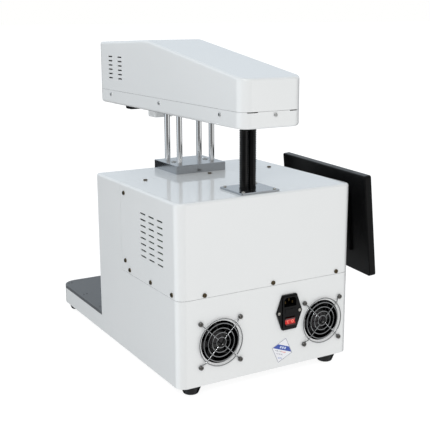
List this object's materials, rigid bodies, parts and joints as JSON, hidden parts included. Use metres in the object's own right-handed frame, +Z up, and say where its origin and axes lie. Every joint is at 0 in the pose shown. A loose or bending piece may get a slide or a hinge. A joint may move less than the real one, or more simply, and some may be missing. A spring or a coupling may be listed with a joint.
{
  "type": "hot foil stamping machine",
  "caption": "Desktop hot foil stamper: white cabinet with a low bed in front, long printing head raised on guide rods, ribbed conduits, rear fans and a side touch screen.",
  "frame": {"origin": "on the floor, under the middle of the whole machine's bounding box", "axes": "+Z up; the bed and the head's working end point to -Y, the back wall with the fans and inlet faces +Y; +X is the operator's right, and the screen is on -X"},
  "size_m": [0.4025, 0.5587, 0.5408],
  "materials": {
    "white_sheet": "satin white powder coat",
    "bed_dark": "dark grey anodised, fine brushed",
    "steel_plate": "ground steel",
    "bright_steel": "ground and polished shaft steel",
    "zinc_steel": "zinc plated steel",
    "black_steel": "black oxide",
    "aluminium_block": "machined aluminium",
    "black_plastic": "moulded black plastic",
    "black_rubber": "matt rubber",
    "conduit_plastic": "ribbed flexible conduit",
    "rocker_red": "translucent red plastic",
    "brass": "turned brass",
    "guard_chrome": "plated wire",
    "circuit_green": "glass-fibre board",
    "label_white": "printed film",
    "screen_black": "glossy front panel",
    "screen_shell": "satin moulded plastic",
    "foil_gold": "wound metallised foil",
    "lens_clear": "clear moulded lens",
    "ceramic": "glazed ceramic heater"
  },
  "bodies": {
    "cabinet": {"main_casing": "white_sheet", "rear_cover": "white_sheet", "base_pan": "zinc_steel", "feet": "black_rubber", "bed_plate": "bed_dark", "flange_plate": "steel_plate", "rod_bushes": "steel_plate", "flange_backing": "aluminium_block", "flange_bolts": "zinc_steel", "lift_motor": "black_steel", "casing_screws": "black_steel", "conduit_gland_plate": "steel_plate", "fan_frame_right": "black_plastic", "fan_frame_left": "black_plastic", "fan_guard_right": "guard_chrome", "fan_guard_left": "guard_chrome", "fan_screws": "black_steel", "inlet_body": "black_plastic", "inlet_pins": "brass", "rating_label": "label_white", "power_supply": "zinc_steel", "board_bracket": "zinc_steel", "control_board": "circuit_green", "screen_bracket": "black_steel"},
    "lead_screw": {"lead_screw": "bright_steel", "shaft_coupler": "aluminium_block"},
    "head": {"lift_plate": "aluminium_block", "lead_nut": "brass", "guide_rods": "bright_steel", "rod_clamp_block": "aluminium_block", "head_tray": "white_sheet", "head_cover": "white_sheet", "head_screws": "zinc_steel", "cable_conduits": "conduit_plastic", "conduit_clamp": "zinc_steel", "carriage_rails": "bright_steel", "rail_ends": "aluminium_block", "carriage_motor": "black_steel", "carriage_belt": "black_rubber", "lamp_housing": "white_sheet", "lamp_lens": "lens_clear", "head_board": "circuit_green"},
    "carriage": {"carriage_block": "aluminium_block", "head_skirt": "black_plastic", "thermal_print_head": "ceramic", "foil_frame": "steel_plate"},
    "supply_reel": {"foil_reel_supply": "foil_gold"},
    "take_up_reel": {"foil_reel_take_up": "foil_gold"},
    "drive_pulley": {"drive_pulley": "aluminium_block"},
    "idler_pulley": {"idler_pulley": "aluminium_block"},
    "fan_rotor_right": {"fan_rotor_right": "black_plastic"},
    "fan_rotor_left": {"fan_rotor_left": "black_plastic"},
    "fuse_drawer": {"fuse_drawer": "black_plastic"},
    "power_rocker": {"power_rocker": "rocker_red"},
    "screen_arm": {"screen_arm": "black_steel"},
    "screen_knuckle": {"screen_knuckle": "black_steel"},
    "screen": {"screen_case": "screen_shell", "screen_glass": "screen_black", "screen_ears": "black_steel"}
  },
  "joints": [
    {"name": "head_lift", "type": "slide", "parent": "cabinet", "child": "head", "axis": [0, 0, 1], "range_m": [-0.08, 0]},
    {"name": "lead_screw_turn", "type": "hinge", "parent": "cabinet", "child": "lead_screw", "pos_m": [0.03625, 0.0015, 0.19], "axis": [0, 0, 1], "range_deg": [-7200, 0]},
    {"name": "carriage_feed", "type": "slide", "parent": "head", "child": "carriage", "axis": [0, 1, 0], "range_m": [0, 0.07]},
    {"name": "drive_pulley_turn", "type": "hinge", "parent": "head", "child": "drive_pulley", "pos_m": [0.06525, -0.0525, 0.476], "axis": [1, 0, 0], "range_deg": [0, 590]},
    {"name": "idler_pulley_turn", "type": "hinge", "parent": "head", "child": "idler_pulley", "pos_m": [0.06525, -0.2505, 0.476], "axis": [1, 0, 0], "range_deg": [0, 590]},
    {"name": "supply_reel_turn", "type": "hinge", "parent": "carriage", "child": "supply_reel", "pos_m": [0.02425, -0.2215, 0.496], "axis": [1, 0, 0], "continuous": true},
    {"name": "take_up_reel_turn", "type": "hinge", "parent": "carriage", "child": "take_up_reel", "pos_m": [0.02425, -0.1655, 0.496], "axis": [1, 0, 0], "continuous": true},
    {"name": "fan_right_spin", "type": "hinge", "parent": "cabinet", "child": "fan_rotor_right", "pos_m": [0.12625, 0.2525, 0.084], "axis": [0, 1, 0], "continuous": true},
    {"name": "fan_left_spin", "type": "hinge", "parent": "cabinet", "child": "fan_rotor_left", "pos_m": [-0.06975, 0.2525, 0.084], "axis": [0, 1, 0], "continuous": true},
    {"name": "fuse_drawer_slide", "type": "slide", "parent": "cabinet", "child": "fuse_drawer", "axis": [0, 1, 0], "range_m": [0, 0.018]},
    {"name": "power_rocker_tilt", "type": "hinge", "parent": "cabinet", "child": "power_rocker", "pos_m": [-0.00275, 0.2645, 0.0955], "axis": [-1, 0, 0], "range_deg": [0, 12]},
    {"name": "screen_swing", "type": "hinge", "parent": "cabinet", "child": "screen_arm", "pos_m": [-0.13885, 0.0035, 0.23485], "axis": [0, 0, 1], "range_deg": [0, 75]},
    {"name": "screen_swivel", "type": "hinge", "parent": "screen_arm", "child": "screen_knuckle", "pos_m": [-0.13885, 0.13423, 0.23485], "axis": [0, 0, 1], "range_deg": [-4, 8]},
    {"name": "screen_tilt", "type": "hinge", "parent": "screen_knuckle", "child": "screen", "pos_m": [-0.15427, 0.13579, 0.23485], "axis": [0.1011, 0.9949, 0], "range_deg": [-10, 6]}
  ],
  "couplings": [
    {"joint": "lead_screw_turn", "follows": "head_lift", "rad_per_m": 1570.8},
    {"joint": "drive_pulley_turn", "follows": "carriage_feed", "rad_per_m": 147.06},
    {"joint": "idler_pulley_turn", "follows": "carriage_feed", "rad_per_m": 147.06}
  ]
}
